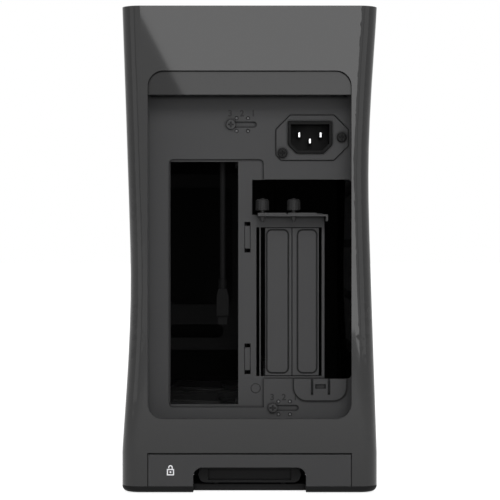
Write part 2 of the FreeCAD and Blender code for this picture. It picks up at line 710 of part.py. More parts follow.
rear_panel()
node("front_plate", slab("XZ", (front_inner, front_outer), rect((-half_chassis, half_chassis),
                         (floor_top, chassis_top), s.sheet_radius)))
hood_face = rear + s.hood_setback
hood_back = hood_face + s.hood_pad
top_half = half_chassis - s.top_border
node("top_frame", slab("XY", (chassis_top, chassis_top + s.sheet),
                       rect((-half_chassis, half_chassis), (panel_outer, front_outer)),
                       rect((-top_half, top_half), (panel_outer + s.top_border, front_outer - s.top_border),
                            s.sheet_radius)))


def rear_hood():
    half = window_half - s.hood_gap
    top = window_top - s.hood_gap
    pad = slab("XZ", (hood_face, hood_back),
               [(-half, hood_bottom, None), (half, hood_bottom, None),
                (half, top, s.window_radius - s.hood_gap), (-half, top, s.window_radius - s.hood_gap)])
    flange = box((-s.hood_width / 2, s.hood_width / 2), (hood_back, hood_back + s.sheet),
                 (hood_bottom, chassis_top))
    shelf = box((-half, half), (hood_back, panel_outer), (hood_bottom, hood_bottom + s.sheet))
    roof = box((-half, half), (hood_back, panel_outer), (chassis_top - s.sheet, chassis_top))
    return node("rear_hood", fuse(pad, flange, shelf, roof))


rear_hood()

# Spine: rear plate, wall, clamp screws and rivet
aperture = rect((s.aperture_left, s.aperture_left + s.aperture_width),
                (s.aperture_bottom, s.aperture_bottom + s.aperture_height))
slot_top = s.ledge_level - s.slot_head
clamp_places = [(s.index_upper_left, s.index_upper_level), (s.index_lower_left, s.index_lower_level)]


def thumb_place(index):
    return s.thumb_centre + index * s.slot_pitch


lance_sides = (s.lance_centre - s.lance_width / 2, s.lance_centre + s.lance_width / 2)
lance_levels = [(low, low + s.lance_height) for low in (s.lance_low, s.lance_high)]


def lance_cuts():
    ends = [(low, low + s.lance_end) for low, high in lance_levels]
    ends += [(high - s.lance_end, high) for low, high in lance_levels]
    return [rect(lance_sides, end) for end in ends]


def lance_grooves():
    left, right = lance_sides
    strips = [(left, left + s.lance_groove), (right - s.lance_groove, right)]
    return [box(strip, (plate_outer - 1, plate_outer + s.lance_depth), level)
            for strip in strips for level in lance_levels]


def spine_plate():
    outline = [(s.plate_left, s.plate_bottom, None), (s.plate_right, s.plate_bottom, None),
               (s.plate_right, s.ledge_level, None), (s.plate_corner, s.ledge_level, None),
               (s.plate_corner, s.plate_top, None), (s.plate_left, s.plate_top, None)]
    slots = [rect((s.slot_left, s.slot_rib_left), (s.slot_bottom, slot_top)),
             rect((s.slot_rib_right, s.slot_right), (s.slot_bottom, slot_top))]
    sheet = slab("XZ", (plate_outer, plate_inner), outline, aperture, *slots,
                 *lance_cuts(),
                 *[ring(u, v, s.clamp_shank_radius + s.clamp_shank_gap) for u, v in clamp_places],
                 ring(s.rivet_centre, s.rivet_level, s.rivet_radius + s.rivet_gap))
    ledge_outer = plate_outer - s.slot_ledge_reach
    ledge = box((s.slot_ledge_left, s.slot_ledge_right), (ledge_outer, plate_inner),
                (s.ledge_level - s.sheet, s.ledge_level))
    lip = box((s.slot_ledge_right - s.sheet, s.slot_ledge_right), (ledge_outer, plate_outer),
              (s.ledge_level - s.slot_lip_drop, s.ledge_level))
    bores = [rod("z", thumb_place(index), ledge_outer + s.thumb_setback - s.thumb_radius,
                 (s.ledge_level - 2 * s.sheet, s.ledge_level + s.sheet), s.thumb_shank_radius + s.thumb_gap)
             for index in range(2)]
    return node("spine_plate", cut(fuse(sheet, ledge, lip), together(*bores, *lance_grooves())))


spine_plate()
wall_right = s.wall_left + s.sheet
flange_front = front_inner - s.spine_gap


def spine_wall():
    wall = box((s.wall_left, wall_right), (plate_inner, s.wall_window_rear), (s.wall_bottom, wall_top))
    notches = [box((s.wall_left - 1, wall_right + 1), (plate_inner - 1, plate_inner + s.lance_notch), level)
               for level in lance_levels]
    return node("spine_wall", cut(wall, together(*notches)))


def spine_post():
    return node("spine_post", slab("XY", (s.wall_bottom, wall_top), [
        (s.wall_left, s.wall_window_front, None), (wall_right, s.wall_window_front, None),
        (wall_right, flange_front - s.sheet, None), (wall_right + s.wall_flange, flange_front - s.sheet, None),
        (wall_right + s.wall_flange, flange_front, None), (s.wall_left, flange_front, None)]))


def spine_rail(label, level):
    # a rail joins the rear wall to the front post, below or above the cable window
    return node(label, box((s.wall_left, wall_right), (s.wall_window_rear, s.wall_window_front), level))


spine_post()
spine_rail("spine_rail_low", (s.wall_bottom, s.wall_window_bottom))
spine_rail("spine_rail_high", (s.wall_window_top, wall_top))
spine_wall()


def clamp_screw(u, v):
    head = rod("y", u, v, (panel_outer - s.clamp_head_height, panel_outer), s.clamp_head_radius)
    shank = rod("y", u, v, (panel_outer, plate_inner + s.sheet), s.clamp_shank_radius)
    return fuse(head, shank)


node("clamp_screws", together(*[clamp_screw(u, v) for u, v in clamp_places]))
rivet_stem = rod("y", s.rivet_centre, s.rivet_level, (plate_outer, plate_inner), s.rivet_radius)
rivet_foot = rod("y", s.rivet_centre, s.rivet_level, (plate_inner, plate_inner + s.rivet_height),
                 s.rivet_radius + s.rivet_flange)
node("spine_rivet", fuse(rivet_stem, rivet_foot))

# Slot covers hang from the ledge by their tabs
cover_front = plate_inner + s.cover_thickness
cover_face = plate_inner - s.cover_skin
tab_top = s.ledge_level + s.cover_thickness
ledge_rear = plate_outer - s.slot_ledge_reach
thumb_y = ledge_rear + s.thumb_setback - s.thumb_radius


def slot_cover(index):
    left = s.cover_left + index * s.cover_step
    right = left + s.cover_width
    head_left = left - s.cover_head_reach * (1 - index)
    head_right = right + s.cover_head_reach * index
    back = box((left, right), (plate_inner, cover_front), (s.cover_bottom, s.cover_head_bottom))
    head = box((head_left, head_right), (plate_inner, cover_front), (s.cover_head_bottom, tab_top))
    skin = box((left, right), (cover_face, plate_inner), (s.slot_bottom + s.panel_gap, slot_top - s.panel_gap))
    press_left = s.cover_left + s.press_left + index * s.press_step
    press = (press_left, press_left + s.press_width - s.press_narrow * index)
    groove = slab("XZ", (cover_face - 1, plate_inner),
                  rect(press, (s.press_bottom, s.press_top), s.press_radius),
                  rect((press[0] + s.press_groove, press[1] - s.press_groove),
                       (s.press_bottom + s.press_groove, s.press_top - s.press_groove),
                       s.press_radius - s.press_groove))
    tab_left = s.tab_left + index * s.tab_step
    tab = box((tab_left, tab_left + s.tab_width), (ledge_rear, cover_front), (s.ledge_level, tab_top))
    bore = rod("z", thumb_place(index), thumb_y, (s.ledge_level - 1, tab_top + 1),
               s.thumb_shank_radius + s.thumb_gap)
    return node(f"slot_cover_{index + 1}", fuse(back, head, cut(skin, groove), cut(tab, bore)))


def thumbscrew(index):
    x = thumb_place(index)
    seat = tab_top + s.thumb_gap
    head_low = seat + s.thumb_neck
    head_high = head_low + s.thumb_height
    shank = rod("z", x, thumb_y, (seat - s.thumb_shank_length, head_low), s.thumb_shank_radius)
    neck = rod("z", x, thumb_y, (seat, head_low), s.thumb_neck_radius)
    head = rod("z", x, thumb_y, (head_low, head_high), s.thumb_radius)
    dome = cone("z", x, thumb_y, (head_high, head_high + s.thumb_dome), s.thumb_radius, s.thumb_neck_radius)
    return node(f"thumbscrew_{index + 1}", fuse(shank, neck, head, dome))


for slot in range(2):
    slot_cover(slot)
    thumbscrew(slot)


# Mains inlet: bezel, socket, blades and screws
bezel_outer = panel_outer - s.bezel_thickness


def inlet_bezel():
    holes = [ring(u, v, s.inlet_screw_shank + s.inlet_gap) for u, v in inlet_screw_places]
    return node("inlet_bezel", slab("XZ", (bezel_outer, panel_outer), bezel_outline(Size(0, "0")),
                                    inlet_outline(s.inlet_gap), *holes))


inlet_bezel()
inlet_face = bezel_outer - s.inlet_proud
inlet_floor = inlet_face + s.inlet_depth
inlet_centre = s.inlet_left + s.inlet_width / 2
blade_places = [(inlet_centre - s.blade_pitch / 2, s.blade_level), (inlet_centre, s.blade_level - s.blade_drop),
                (inlet_centre + s.blade_pitch / 2, s.blade_level)]


def blade_block(u, v, span):
    return box((u - s.blade_width / 2, u + s.blade_width / 2), span,
               (v - s.blade_height / 2, v + s.blade_height / 2))


def mains_inlet():
    body = slab("XZ", (inlet_face, inlet_floor + s.inlet_back), inlet_outline(Size(0, "0")))
    hollow = slab("XZ", (inlet_face - 1, inlet_floor), inlet_outline(-s.inlet_rim))
    sockets = [blade_block(u, v, (inlet_floor - 1, inlet_floor + s.inlet_back)) for u, v in blade_places]
    return node("mains_inlet", cut(body, fuse(hollow, *sockets)))


mains_inlet()
node("inlet_blades", together(*[blade_block(u, v, (inlet_floor - s.blade_length, inlet_floor + s.inlet_back))
                                for u, v in blade_places]))


def inlet_screw(u, v):
    head = rod("y", u, v, (bezel_outer - s.inlet_screw_height, bezel_outer), s.inlet_screw_radius)
    shank = rod("y", u, v, (bezel_outer, panel_inner + s.sheet), s.inlet_screw_shank)
    return fuse(head, shank)


node("inlet_screws", together(*[inlet_screw(u, v) for u, v in inlet_screw_places]))


def lock_bracket():
    top = s.cut_low
    plate = slab("XZ", (panel_outer - s.lock_thickness, panel_outer),
                 [(s.lock_left, s.lock_bottom, s.lock_radius), (s.lock_right, s.lock_bottom, s.lock_radius),
                  (s.lock_right, top, None), (s.lock_left, top, None)])
    through = (panel_outer - s.lock_thickness - 1, panel_outer + 1)
    slits = [box(x, through, (s.lock_tab_bottom, top + 1)) for x in lock_slit_holes()]
    middle = s.lock_tab_left + s.lock_tab_width / 2
    slot = box((middle - s.lock_slot_width / 2, middle + s.lock_slot_width / 2), through,
               (s.lock_slot_level - s.lock_slot_height / 2, s.lock_slot_level + s.lock_slot_height / 2))
    return node("lock_bracket", cut(plate, together(*slits, slot)))


lock_bracket()

# Board standoffs, riser and power supply bracket stand on the spine wall
aperture_middle = s.aperture_bottom + s.aperture_height / 2


def standoff(y, z):
    span = (s.wall_left - s.standoff_length, s.wall_left)
    return cut(rod("x", y, z, span, s.standoff_radius), rod("x", y, z, span, s.standoff_hole))


standoff_rear = plate_inner + s.board_inset
node("standoffs", together(*[standoff(standoff_rear + end * s.board_span_length,
                                      aperture_middle + side * s.board_span_level / 2)
                             for end in (0, 1) for side in (-1, 1)]))
riser_rear = plate_inner + s.riser_setback


def riser_bracket():
    shelf = box((wall_right, wall_right + s.riser_width), (riser_rear, riser_rear + s.riser_length),
                (s.riser_level, s.riser_level + s.sheet))
    flange = box((wall_right, wall_right + s.sheet), (riser_rear, riser_rear + s.riser_length),
                 (s.riser_level + s.sheet, s.riser_level + s.socket_height))
    return node("riser_bracket", fuse(shelf, flange))


def riser_socket():
    low = s.riser_level + s.sheet
    high = low + s.socket_height
    middle = s.socket_left + s.socket_width / 2
    y = (riser_rear + s.ring_wall, riser_rear + s.ring_wall + s.socket_length)
    body = box((s.socket_left, s.socket_left + s.socket_width), y, (low, high))
    slot = box((middle - s.socket_slot / 2, middle + s.socket_slot / 2),
               (y[0] + s.socket_end, y[1] - s.socket_end),
               (high - s.socket_slot_depth, high + 1))
    return node("riser_socket", cut(body, slot))


riser_bracket()
riser_socket()


def supply_bracket():
    rear_side = rear + s.supply_setback
    y = (rear_side, rear_side + s.sheet)
    right = s.wall_left - s.sheet
    window = (s.supply_left + s.supply_side, s.supply_left + s.supply_side + s.supply_window_width)
    slot = (s.supply_left + s.supply_side, s.supply_left + s.supply_side + s.supply_slot_width)
    plate = slab("XZ", y, rect((s.supply_left, right), (s.supply_bottom, s.supply_top)),
                 rect(window, (s.supply_window_bottom, s.supply_window_top), s.sheet_radius),
                 rect(slot, (s.supply_slot_level - s.supply_slot_height / 2,
                             s.supply_slot_level + s.supply_slot_height / 2), s.supply_slot_radius))
    flange = box((right, s.wall_left), (rear_side, rear_side + s.supply_flange), (s.supply_bottom, s.supply_top))
    return node("supply_bracket", fuse(plate, flange))


supply_bracket()

# The front lead leaves the spine wall through a grommet, bends down and ends in a plug
lead_y = rear + s.lead_setback
lead_x = s.wall_left - s.lead_reach


def lead_grommet():
    span = (s.wall_left - s.grommet_length, s.wall_left)
    return node("lead_grommet", cut(rod("x", lead_y, s.lead_level, span, s.grommet_radius),
                                    rod("x", lead_y, s.lead_level, span, s.lead_radius + s.grommet_gap)))


def front_lead():
    # a quarter bend whose first end points to -X and whose last end points to +Z
    bend = doc.addObject("Part::Torus", "bend")
    bend.Placement = Placement(Vector(), Rotation(Vector(-1, 0, 0), Vector(0, 0, 1), Vector(0, 1, 0)))
    bend.Angle3 = 90
    bend.setExpression("Radius1", words(s.lead_bend))
    bend.setExpression("Radius2", words(s.lead_radius))
    place(bend, lead_x + s.lead_bend, lead_y, s.lead_level - s.lead_bend)
    run = rod("x", lead_y, s.lead_level, (lead_x + s.lead_bend, s.wall_left), s.lead_radius)
    drop = rod("z", lead_x, lead_y, (s.plug_top, s.lead_level - s.lead_bend), s.lead_radius)
    return node("front_lead", fuse(run, bend, drop))


def lead_plug():
    collar_low = s.plug_top - s.plug_collar
    neck, half = s.plug_neck_width / 2, s.plug_width / 2
    shoulder = collar_low - s.plug_shoulder
    body = slab("XZ", (lead_y - s.plug_thickness / 2, lead_y + s.plug_thickness / 2),
                [(lead_x - half, s.plug_bottom, None), (lead_x + half, s.plug_bottom, None),
                 (lead_x + half, shoulder, None), (lead_x + neck, collar_low, None),
                 (lead_x - neck, collar_low, None), (lead_x - half, shoulder, None)])
    collar = rod("z", lead_x, lead_y, (collar_low, s.plug_top), s.plug_collar_radius)
    prong = box((lead_x - s.prong_width / 2, lead_x + s.prong_width / 2),
                (lead_y - s.prong_thickness / 2, lead_y + s.prong_thickness / 2),
                (s.plug_bottom - s.prong_length, s.plug_bottom))
    return node("lead_plug", fuse(body, collar, prong))


lead_grommet()
front_lead()
lead_plug()

# Two bottom fans
fan_low = floor_top
fan_high = floor_top + s.fan_depth
motor_top = fan_low + s.fan_motor_height
hub_low = motor_top + s.fan_lift
hub_high = fan_high - s.fan_top_gap


def fan_frame(index, y):
    half = s.fan_size / 2
    zero = Size(0, "0")
    shroud = slab("XY", (fan_low, fan_high), rect((-half, half), (y - half, y + half), s.fan_corner),
                  ring(zero, y, s.fan_bore), *fan_holes(y))
    strut_span = (fan_low, fan_low + s.fan_strut_height)
    reach = s.fan_bore + 1
    struts = [box((-reach, reach), (y - s.fan_strut / 2, y + s.fan_strut / 2), strut_span),
              box((-s.fan_strut / 2, s.fan_strut / 2), (y - reach, y + reach), strut_span)]
    motor = rod("z", zero, y, (fan_low, motor_top), s.fan_motor)
    shaft = rod("z", zero, y, (motor_top - 1, hub_high - s.fan_lift), s.fan_shaft)
    return node(f"fan_frame_{index}", fuse(shroud, *struts, motor, shaft))


def fan_rotor(index, y):
    zero = Size(0, "0")
    span = (hub_low, hub_high)
    blades = []
    middle = (hub_low + hub_high) / 2
    count = table["blade_count"]
    for step in range(count):
        blade = doc.addObject("Part::Box", "blade")
        blade.setExpression("Length", words(s.blade_reach + 2))
        blade.setExpression("Width", words(s.blade_chord))
        blade.setExpression("Height", words(s.blade_skin))
        tilt = Rotation(Vector(1, 0, 0), table["blade_pitch_angle"])
        around = Rotation(Vector(0, 0, 1), 360 * step / count)
        turn = around * tilt
        blade.Placement = Placement(Vector(), turn)
        corner = turn.multVec(Vector(0, -0.5, 0))
        thick = turn.multVec(Vector(0, 0, -0.5))
        place(blade, corner.x * s.blade_chord + thick.x * s.blade_skin,
              y + corner.y * s.blade_chord + thick.y * s.blade_skin,
              middle + corner.z * s.blade_chord + thick.z * s.blade_skin)
        blades.append(blade)
    disc = rod("z", zero, y, span, s.blade_reach)
    trimmed = common(disc, fuse(*blades, rod("z", zero, y, span, s.fan_hub)))
    socket = rod("z", zero, y, (hub_low - 1, hub_high - s.fan_lift / 2), s.fan_shaft + s.fan_shaft_gap)
    return node(f"fan_rotor_{index}", cut(trimmed, socket))


for fan, fan_place in enumerate(fan_places, start=1):
    fan_frame(fan, fan_place)
    fan_rotor(fan, fan_place)


# Front panel with its ports, button and board
port_front = front - s.base_panel_thickness + s.port_proud
port_rear = port_front - s.port_length
jack_level = board_high + s.jack_radius
wide_places = [s.wide_port_first, s.wide_port_first + s.wide_port_step]


def port_loop(centre, width, height, grow):
    return rect((centre - width / 2 - grow, centre + width / 2 + grow),
                (board_high - grow, board_high + height + grow))


def front_panel():
    half, top = base_outline()
    gap = s.port_gap
    return node("front_panel", slab("XZ", (front - s.base_panel_thickness, front),
                                    rect((-half, half), (s.plinth_top, top)),
                                    *[port_loop(x, s.wide_port_width, s.wide_port_height, gap) for x in wide_places],
                                    port_loop(s.small_port_place, s.small_port_width, s.small_port_height, gap),
                                    ring(s.jack_place, jack_level, s.jack_radius + gap),
                                    ring(s.button_place, s.button_level, s.button_radius + gap)))


front_panel()
node("port_board", box((-s.front_cut_reach + s.panel_gap, s.front_cut_reach - s.panel_gap),
                       (board_rear, board_front),
                       (board_low, board_high)))


def port_shell(centre, width, height):
    body = slab("XZ", (port_rear, port_front), port_loop(centre, width, height, Size(0, "0")))
    hollow = slab("XZ", (port_rear + s.port_floor, port_front + 1), port_loop(centre, width, height, -s.port_wall))
    middle = board_high + height / 2
    tongue = box((centre - width / 2 + 3 * s.port_wall, centre + width / 2 - 3 * s.port_wall),
                 (port_rear + s.port_floor - 1, port_front - 1), (middle - s.port_wall, middle + s.port_wall))
    return fuse(cut(body, hollow), tongue)


node("wide_ports", together(*[port_shell(x, s.wide_port_width, s.wide_port_height) for x in wide_places]))
node("small_port", port_shell(s.small_port_place, s.small_port_width, s.small_port_height))
node("audio_jack", cut(rod("y", s.jack_place, jack_level, (port_rear, port_front), s.jack_radius),
                       rod("y", s.jack_place, jack_level, (port_rear + s.port_floor, port_front + 1), s.jack_bore)))


def power_button():
    back = front - s.base_panel_thickness
    cap = rod("y", s.button_place, s.button_level, (back - s.button_flange_thickness, front), s.button_radius)
    flange = rod("y", s.button_place, s.button_level, (back - s.panel_gap / 2 - s.button_flange_thickness,
                 back - s.panel_gap / 2), s.button_radius + s.button_flange)
    return node("power_button", fuse(cap, flange))


power_button()
button_room = s.button_flange_thickness + s.panel_gap / 2 + s.button_travel + s.port_gap
switch_front = front - s.base_panel_thickness - button_room
node("power_switch", box((s.button_place - s.switch_size / 2, s.button_place + s.switch_size / 2),
                         (switch_front - s.switch_size, switch_front), (board_high, board_high + s.switch_size)))

doc.recompute()
for item in doc.Objects:
    if {"Invalid", "Error"} & set(item.State):
        raise RuntimeError(f"{item.Name} {item.Label} did not recompute: {item.State}")
for item in nodes:
    if item.Shape.isNull() or not item.Shape.isValid():
        raise RuntimeError(f"{item.Label} has no valid shape")
os.makedirs("parts", exist_ok=True)
for item in nodes:
    item.Shape.exportStep(f"parts/{item.Label}.step")
    print(item.Label, len(item.Shape.Solids), round(item.Shape.Volume, 1))
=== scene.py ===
import json
import math

import bpy
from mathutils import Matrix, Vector


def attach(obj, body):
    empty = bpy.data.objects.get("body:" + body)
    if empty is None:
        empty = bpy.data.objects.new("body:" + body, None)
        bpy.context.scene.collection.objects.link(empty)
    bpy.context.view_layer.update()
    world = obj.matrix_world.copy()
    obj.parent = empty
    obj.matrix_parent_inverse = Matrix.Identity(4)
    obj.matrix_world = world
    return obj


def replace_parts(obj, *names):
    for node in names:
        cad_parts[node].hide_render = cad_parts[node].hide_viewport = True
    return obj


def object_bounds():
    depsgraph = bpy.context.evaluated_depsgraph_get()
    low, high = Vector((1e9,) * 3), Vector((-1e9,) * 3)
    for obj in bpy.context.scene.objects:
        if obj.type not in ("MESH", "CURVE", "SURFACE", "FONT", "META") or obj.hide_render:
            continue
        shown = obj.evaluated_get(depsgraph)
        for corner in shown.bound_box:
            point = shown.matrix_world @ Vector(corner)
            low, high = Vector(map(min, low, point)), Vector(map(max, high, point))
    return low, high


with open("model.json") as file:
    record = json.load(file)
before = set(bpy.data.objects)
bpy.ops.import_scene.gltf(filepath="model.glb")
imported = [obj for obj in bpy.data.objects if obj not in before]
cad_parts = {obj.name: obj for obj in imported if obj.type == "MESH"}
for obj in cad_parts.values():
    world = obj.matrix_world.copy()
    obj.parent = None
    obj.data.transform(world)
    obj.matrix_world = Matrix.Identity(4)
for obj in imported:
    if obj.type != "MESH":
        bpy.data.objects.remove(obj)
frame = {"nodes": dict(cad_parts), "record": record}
nodes = frame["nodes"]
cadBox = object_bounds()
scene = bpy.context.scene
scene.view_settings.view_transform = "Standard"
caseLow, caseHigh = cadBox
rearFace = caseLow.y
print("frame loaded:", len(nodes), "nodes")


# camera square to the rear face, at half the height of the case
cameraSettings = {"distance": 1.2, "lens": 134.55, "sensor": 36.0, "shift": 0.0008}

cameraData = bpy.data.cameras.new("rearCamera")
cameraData.lens = cameraSettings["lens"]
cameraData.sensor_width = cameraSettings["sensor"]
cameraData.shift_x = cameraSettings["shift"]
camera = bpy.data.objects.new("rearCamera", cameraData)
camera.location = (0, rearFace - cameraSettings["distance"], caseHigh.z / 2)
camera.rotation_euler = (math.radians(90), 0, 0)
scene.collection.objects.link(camera)
scene.camera = camera


# node helpers: a wire is a socket that takes part in sums, a paint is one material
class Wire:
    def __init__(self, paint, socket):
        self.paint = paint
        self.socket = socket

    def sum(self, operation, first, second):
        return self.paint.add("ShaderNodeMath", {"operation": operation}, {0: first, 1: second})

    def __add__(self, other):
        return self.sum("ADD", self, other)

    def __radd__(self, other):
        return self.sum("ADD", other, self)

    def __mul__(self, other):
        return self.sum("MULTIPLY", self, other)

    def __rmul__(self, other):
        return self.sum("MULTIPLY", other, self)


class Paint:
    def __init__(self, name, owner=None):
        self.owner = owner or bpy.data.materials.new(name)
        self.owner.use_nodes = True
        self.tree = self.owner.node_tree
        self.tree.nodes.clear()

    def add(self, kind, settings=None, sockets=None, out=0):
        node = self.tree.nodes.new(kind)
        for key, value in (settings or {}).items():
            setattr(node, key, value)
        for key, value in (sockets or {}).items():
            if isinstance(value, Wire):
                self.tree.links.new(value.socket, node.inputs[key])
            else:
                node.inputs[key].default_value = value
        return Wire(self, node.outputs[out]) if len(node.outputs) else None

    def noise(self, size, detail):
        spot = self.add("ShaderNodeTexCoord", out="Object")
        return self.add("ShaderNodeTexNoise", None, {"Vector": spot, "Scale": 1 / size, "Detail": detail})

    def blend(self, share, first, second):
        return self.add("ShaderNodeMix", {"data_type": "RGBA"}, {0: share, 6: first, 7: second}, out=2)

    def surface(self, shader):
        self.add("ShaderNodeOutputMaterial", None, {"Surface": shader})
        return self.owner


coolness = 1.02


def grey(level):
    return (level, level, level * coolness, 1)


# finishes, one set of values each; sizes are in metres, and the gap value sets how dark the painted shade in narrow
# gaps gets
finishes = {
    "shellCoat": {"dark": grey(0.012), "light": grey(0.015), "rough": (0.36, 0.44), "grain": 0.0005,
                  "depth": 0.00002, "edge": 0.0006, "specular": 0.0, "coat": 0.68},
    "grilleCoat": {"dark": grey(0.03), "light": grey(0.036), "rough": (0.38, 0.46), "grain": 0.0005,
                   "depth": 0.00002, "edge": 0.0004, "specular": 0.15},
    "hoodCoat": {"dark": grey(0.015), "light": grey(0.018), "rough": (0.4, 0.5), "grain": 0.0005,
                 "depth": 0.00002, "edge": 0.0005, "specular": 0.0, "coat": 0.42},
    # darker copy of the chassis coat for the parts inside the case: painted shade
    "paintedShadeInnerCoat": {"dark": grey(0.01), "light": grey(0.013), "rough": (0.55, 0.65), "grain": 0.0006,
                  "depth": 0.00003, "edge": 0.0004, "specular": 0.05},
    "chassisCoat": {"dark": grey(0.049), "light": grey(0.057), "rough": (0.5, 0.6), "grain": 0.0006,
                    "depth": 0.00003, "edge": 0.0004, "specular": 0.06, "paintedGapShade": 0.15},
    # the domes get a lighter base colour than the panel: a painted glint
    "paintedGlintDomeCoat": {"dark": grey(0.12), "light": grey(0.14), "rough": (0.4, 0.5), "grain": 0.0006,
                 "depth": 0.00003, "edge": 0.0001, "specular": 0.3, "paintedGapShade": 0.8},
    "basePlastic": {"dark": grey(0.044), "light": grey(0.052), "rough": (0.5, 0.6), "grain": 0.0004,
                    "depth": 0.00003, "edge": 0.0005, "specular": 0.06},
    "plinthPlastic": {"dark": grey(0.01), "light": grey(0.014), "rough": (0.5, 0.6), "grain": 0.0004,
                      "depth": 0.00003, "edge": 0.0005, "specular": 0.04},
    "handlePlastic": {"dark": grey(0.01), "light": grey(0.014), "rough": (0.5, 0.6), "grain": 0.0004,
                      "depth": 0.00003, "edge": 0.0005, "specular": 0.05},
    "filterPlastic": {"dark": grey(0.016), "light": grey(0.022), "rough": (0.5, 0.62), "grain": 0.0005,
                      "depth": 0.00002, "edge": 0.0003, "specular": 0.3},
    "inletPlastic": {"dark": grey(0.005), "light": grey(0.008), "rough": (0.42, 0.52), "grain": 0.0004,
                     "depth": 0.00002, "edge": 0.0004, "specular": 0.05},
    "footRubber": {"dark": grey(0.012), "light": grey(0.02), "rough": (0.7, 0.85), "grain": 0.0008,
                   "depth": 0.00005, "edge": 0.0004, "specular": 0.3},
    "bladeMetal": {"dark": grey(0.6), "light": grey(0.7), "rough": (0.2, 0.32), "grain": 0.0003,
                   "depth": 0.00001, "edge": 0.0003, "specular": 0.5, "metal": 1.0},
    "screwBlack": {"dark": grey(0.034), "light": grey(0.048), "rough": (0.3, 0.42), "grain": 0.0003,
                   "depth": 0.00001, "edge": 0.0003, "specular": 0.12, "paintedGapShade": 0.2},
    "thumbBlack": {"dark": grey(0.016), "light": grey(0.024), "rough": (0.3, 0.42), "grain": 0.0003,
                   "depth": 0.00001, "edge": 0.0002, "specular": 0.15, "paintedGapShade": 0.1},
    "plugPlastic": {"dark": grey(0.004), "light": grey(0.006), "rough": (0.5, 0.6), "grain": 0.0004,
                    "depth": 0.00002, "edge": 0.0003, "specular": 0.03},
    "inletScrew": {"dark": grey(0.006), "light": grey(0.012), "rough": (0.25, 0.35), "grain": 0.0003,
                   "depth": 0.00001, "edge": 0.0003, "specular": 0.06, "paintedGapShade": 0.1},
    "whitePrint": {"dark": grey(0.74), "light": grey(0.8), "rough": (0.5, 0.6), "grain": 0.0003,
                   "depth": 0.00001, "edge": 0.0001, "specular": 0.3},
    "darkPrint": {"dark": grey(0.004), "light": grey(0.006), "rough": (0.5, 0.6), "grain": 0.0003,
                  "depth": 0.00001, "edge": 0.0001, "specular": 0.3},
    "leadSleeve": {"dark": grey(0.004), "light": grey(0.01), "rough": (0.6, 0.75), "grain": 0.0007,
                   "depth": 0.0002, "edge": 0.0003, "specular": 0.04},
    "socketPlastic": {"dark": grey(0.012), "light": grey(0.018), "rough": (0.4, 0.5), "grain": 0.0004,
                      "depth": 0.00002, "edge": 0.0003, "specular": 0.4},
    "portSteel": {"dark": grey(0.4), "light": grey(0.5), "rough": (0.28, 0.4), "grain": 0.0004,
                  "depth": 0.00001, "edge": 0.0002, "specular": 0.5, "metal": 1.0},
    "boardResin": {"dark": (0.006, 0.035, 0.018, 1), "light": (0.01, 0.055, 0.028, 1), "rough": (0.35, 0.5),
                   "grain": 0.0006, "depth": 0.00002, "edge": 0.0002, "specular": 0.4},
    "fanPlastic": {"dark": grey(0.016), "light": grey(0.024), "rough": (0.45, 0.55), "grain": 0.0005,
                   "depth": 0.00002, "edge": 0.0004, "specular": 0.15},
    "buttonPlastic": {"dark": grey(0.05), "light": grey(0.058), "rough": (0.4, 0.5), "grain": 0.0004,
                      "depth": 0.00002, "edge": 0.0004, "specular": 0.35},
}
# values that all finishes share
finishSettings = {"cloudSize": 0.05, "cloudDetail": 3, "grainDetail": 1, "cloudShare": 0.5, "edgeSamples": 4,
                  "bumpStrength": 0.6, "paintedShadeSamples": 8, "paintedShadeReach": 0.002, "paintedGapShade": 0.4, "coatRough": 0.03}


def makeFinish(name):
    look, common = finishes[name], finishSettings
    paint = Paint(name)
    clouds = paint.noise(common["cloudSize"], common["cloudDetail"])
    grain = paint.noise(look["grain"], common["grainDetail"])
    low, high = look["rough"]
    softened = paint.add("ShaderNodeBevel", {"samples": common["edgeSamples"]}, {"Radius": look["edge"]})
    bumped = paint.add("ShaderNodeBump", None, {"Strength": common["bumpStrength"], "Distance": look["depth"],
                                                "Height": grain, "Normal": softened})
    share = common["cloudShare"]
    colour = paint.blend(share * clouds + (1 - share) * grain, look["dark"], look["light"])
    # ambient occlusion darkens the base colour in narrow gaps and crevices: painted shade where real shade falls
    paintedShadeMask = paint.add("ShaderNodeAmbientOcclusion", {"samples": common["paintedShadeSamples"]},
                         {"Distance": common["paintedShadeReach"]}, out="AO")
    paintedShadeColour = grey(look["dark"][0] * look.get("paintedGapShade", common["paintedGapShade"]))
    shader = paint.add("ShaderNodeBsdfPrincipled", None, {
        "Base Color": paint.blend(paintedShadeMask * paintedShadeMask, paintedShadeColour, colour),
        "Roughness": low + clouds * (high - low), "Metallic": look.get("metal", 0.0),
        "Specular IOR Level": look["specular"], "Coat Weight": look.get("coat", 0.0),
        "Coat Roughness": common["coatRough"], "Normal": bumped})
    return paint.surface(shader)


slotFinishes = {"shell_coat": "shellCoat", "grille_coat": "grilleCoat", "chassis_coat": "chassisCoat",
                "base_plastic": "basePlastic", "filter_plastic": "filterPlastic",
                "inlet_plastic": "inletPlastic", "foot_rubber": "footRubber", "blade_metal": "bladeMetal",
                "screw_black": "screwBlack", "lead_sleeve": "leadSleeve", "grommet_rubber": "footRubber",
                "socket_plastic": "socketPlastic", "port_steel": "portSteel", "board_resin": "boardResin",
                "fan_plastic": "fanPlastic", "button_plastic": "buttonPlastic"}
